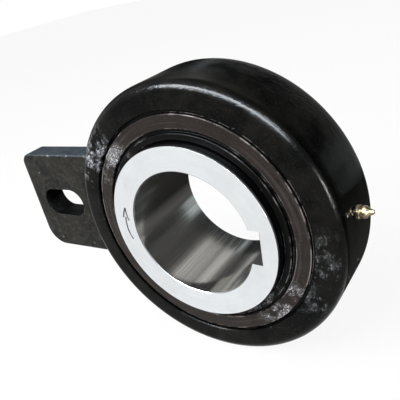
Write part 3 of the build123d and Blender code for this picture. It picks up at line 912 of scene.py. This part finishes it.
room = bpy.data.worlds.new("room")
scene.world = room
room.use_nodes = True
tree = room.node_tree
backdrop = tree.nodes["Background"]
backdrop.inputs["Color"].default_value = (1, 1, 1, 1)
tree.links.new(spread(tree, seen_directly(tree), 0, 1, .5, 1), backdrop.inputs["Strength"])

# The room behind the clutch is a tube round the shaft, flat along the floor: its radius is
# the smaller of room_reach and bench_drop / |sin angle| below the shaft. It holds a dark
# bench and walls with windows between them. Sizes are in metres.
room_reach, bench_drop, far_start, far_full = 0.3, 0.0825, .332, .342
room_turns = np.radians(np.linspace(0, 360, 241))
room_depths = np.concatenate([[0.034, 0.06, 0.10], np.linspace(0.15, 0.43, 8)])
sine = np.sin(room_turns)
room_radius = np.minimum(room_reach, bench_drop / np.maximum(-sine, 1e-3))
room_radius = np.where(sine < 0, room_radius, room_reach)
x, y = np.broadcast_arrays(room_radius * np.cos(room_turns), room_depths[:, None])
wall = np.stack([x, y, np.broadcast_to(room_radius * sine, x.shape)], axis=-1)

# How bright the room is at each angle, in degrees from +X towards +Z, near the clutch and
# at the room's far end.
near_levels = {
    0: .045, 13: .07, 23: .077, 38: .058, 53: .072, 63: .17, 73: .48, 84: .4, 95: .4, 105: .27,
    113: .5, 123: .55, 133: .19, 143: .097, 153: .064, 163: .1, 172: .2, 180: .4, 188: .2,
    204: .03, 304: .02, 313: .055, 323: .085, 333: .1, 343: .064, 353: .042}
far_levels = {
    0: .6, 12: .5, 22: .06, 45: .03, 82: .03, 99: .05, 108: .075, 118: .035, 123: .06, 128: .07,
    131: .14, 135: .42, 139: .22, 144: .09, 151: .02, 165: .03, 200: .03, 335: .04, 346: .4}


def light_round(tree, turn, levels, tint):
    """Colour ramp round the shaft from a table of angle and level."""
    ramp = node(tree, "ValToRGB", (turn,))
    stops = ramp.color_ramp.elements
    for angle, level in levels.items():
        stop = stops.new(angle / 360)
        stop.color = (level * tint[0], level * tint[1], level * tint[2], 1)
    stops.remove(stops[-1])
    return ramp.outputs[0]


room_light, tree, _ = new_finish("room_behind")
polar = use(tree, round_shaft)
near_light = light_round(tree, polar["Turn"], near_levels, (1.0, .985, .95))
far_light = light_round(tree, polar["Turn"], far_levels, (.90, 1.0, 1.02))
far_share = spread(tree, polar["Along"], far_start, far_full)
glow = node(tree, "Emission", (blend_colour(tree, far_share, near_light, far_light), 1.0))
tree.links.new(glow.outputs[0], tree.nodes["Material Output"].inputs["Surface"])
walls = stage_sheet("room_behind", wall, room_light)
walls.visible_camera = walls.visible_diffuse = False
walls.visible_transmission = walls.visible_shadow = False


def softbox(name, direction, distance, size, power, colour, gloss=True, matt=True):
    """Area lamp at a distance in metres along a direction, aimed at the middle of the bore.

    Size is its width and height. Gloss and matt say which surfaces it shows in or lights.
    """
    lamp = bpy.data.lights.new(name, "AREA")
    lamp.shape = "RECTANGLE"
    lamp.size, lamp.size_y = size
    lamp.energy, lamp.color = power, colour
    holder = bpy.data.objects.new(name, lamp)
    scene.collection.objects.link(holder)
    place = Vector(direction).normalized() * distance
    turn = (-place).to_track_quat("-Z", "Y")
    holder.matrix_world = Matrix.Translation(place) @ turn.to_matrix().to_4x4()
    holder.visible_camera = False
    holder.visible_glossy, holder.visible_diffuse = gloss, matt


white, sky = (1.0, 1.0, 1.0), (.88, .94, 1.0)
softbox("key_light", (-.35, -.75, .75), 1.2, (.9, .9), 22.0, white, gloss=False)
softbox("front_window", (0, -.60, .76), 1.0, (1.6, .36), 215.0, sky, matt=False)
softbox("right_window", (.93, -.33, -.08), 1.0, (.10, .56), 26.0, white, matt=False)

# Camera: in front, to the right and above, with a normal lens close to the clutch.
lens = bpy.data.cameras.new("camera")
lens.lens, lens.sensor_width, lens.clip_start = 46.023, 36.0, 0.01
camera = bpy.data.objects.new("camera", lens)
scene.collection.objects.link(camera)
scene.camera = camera
right = Vector((0.82529, 0.52222, -0.21488)).normalized()
forward = Vector((-0.56135, 0.71699, -0.41328)).normalized()
up = right.cross(forward)
view = Matrix((right, up, -forward)).transposed().to_4x4()
view.translation = Vector((0.1576741, -0.2141504, 0.1292437))
camera.matrix_world = view
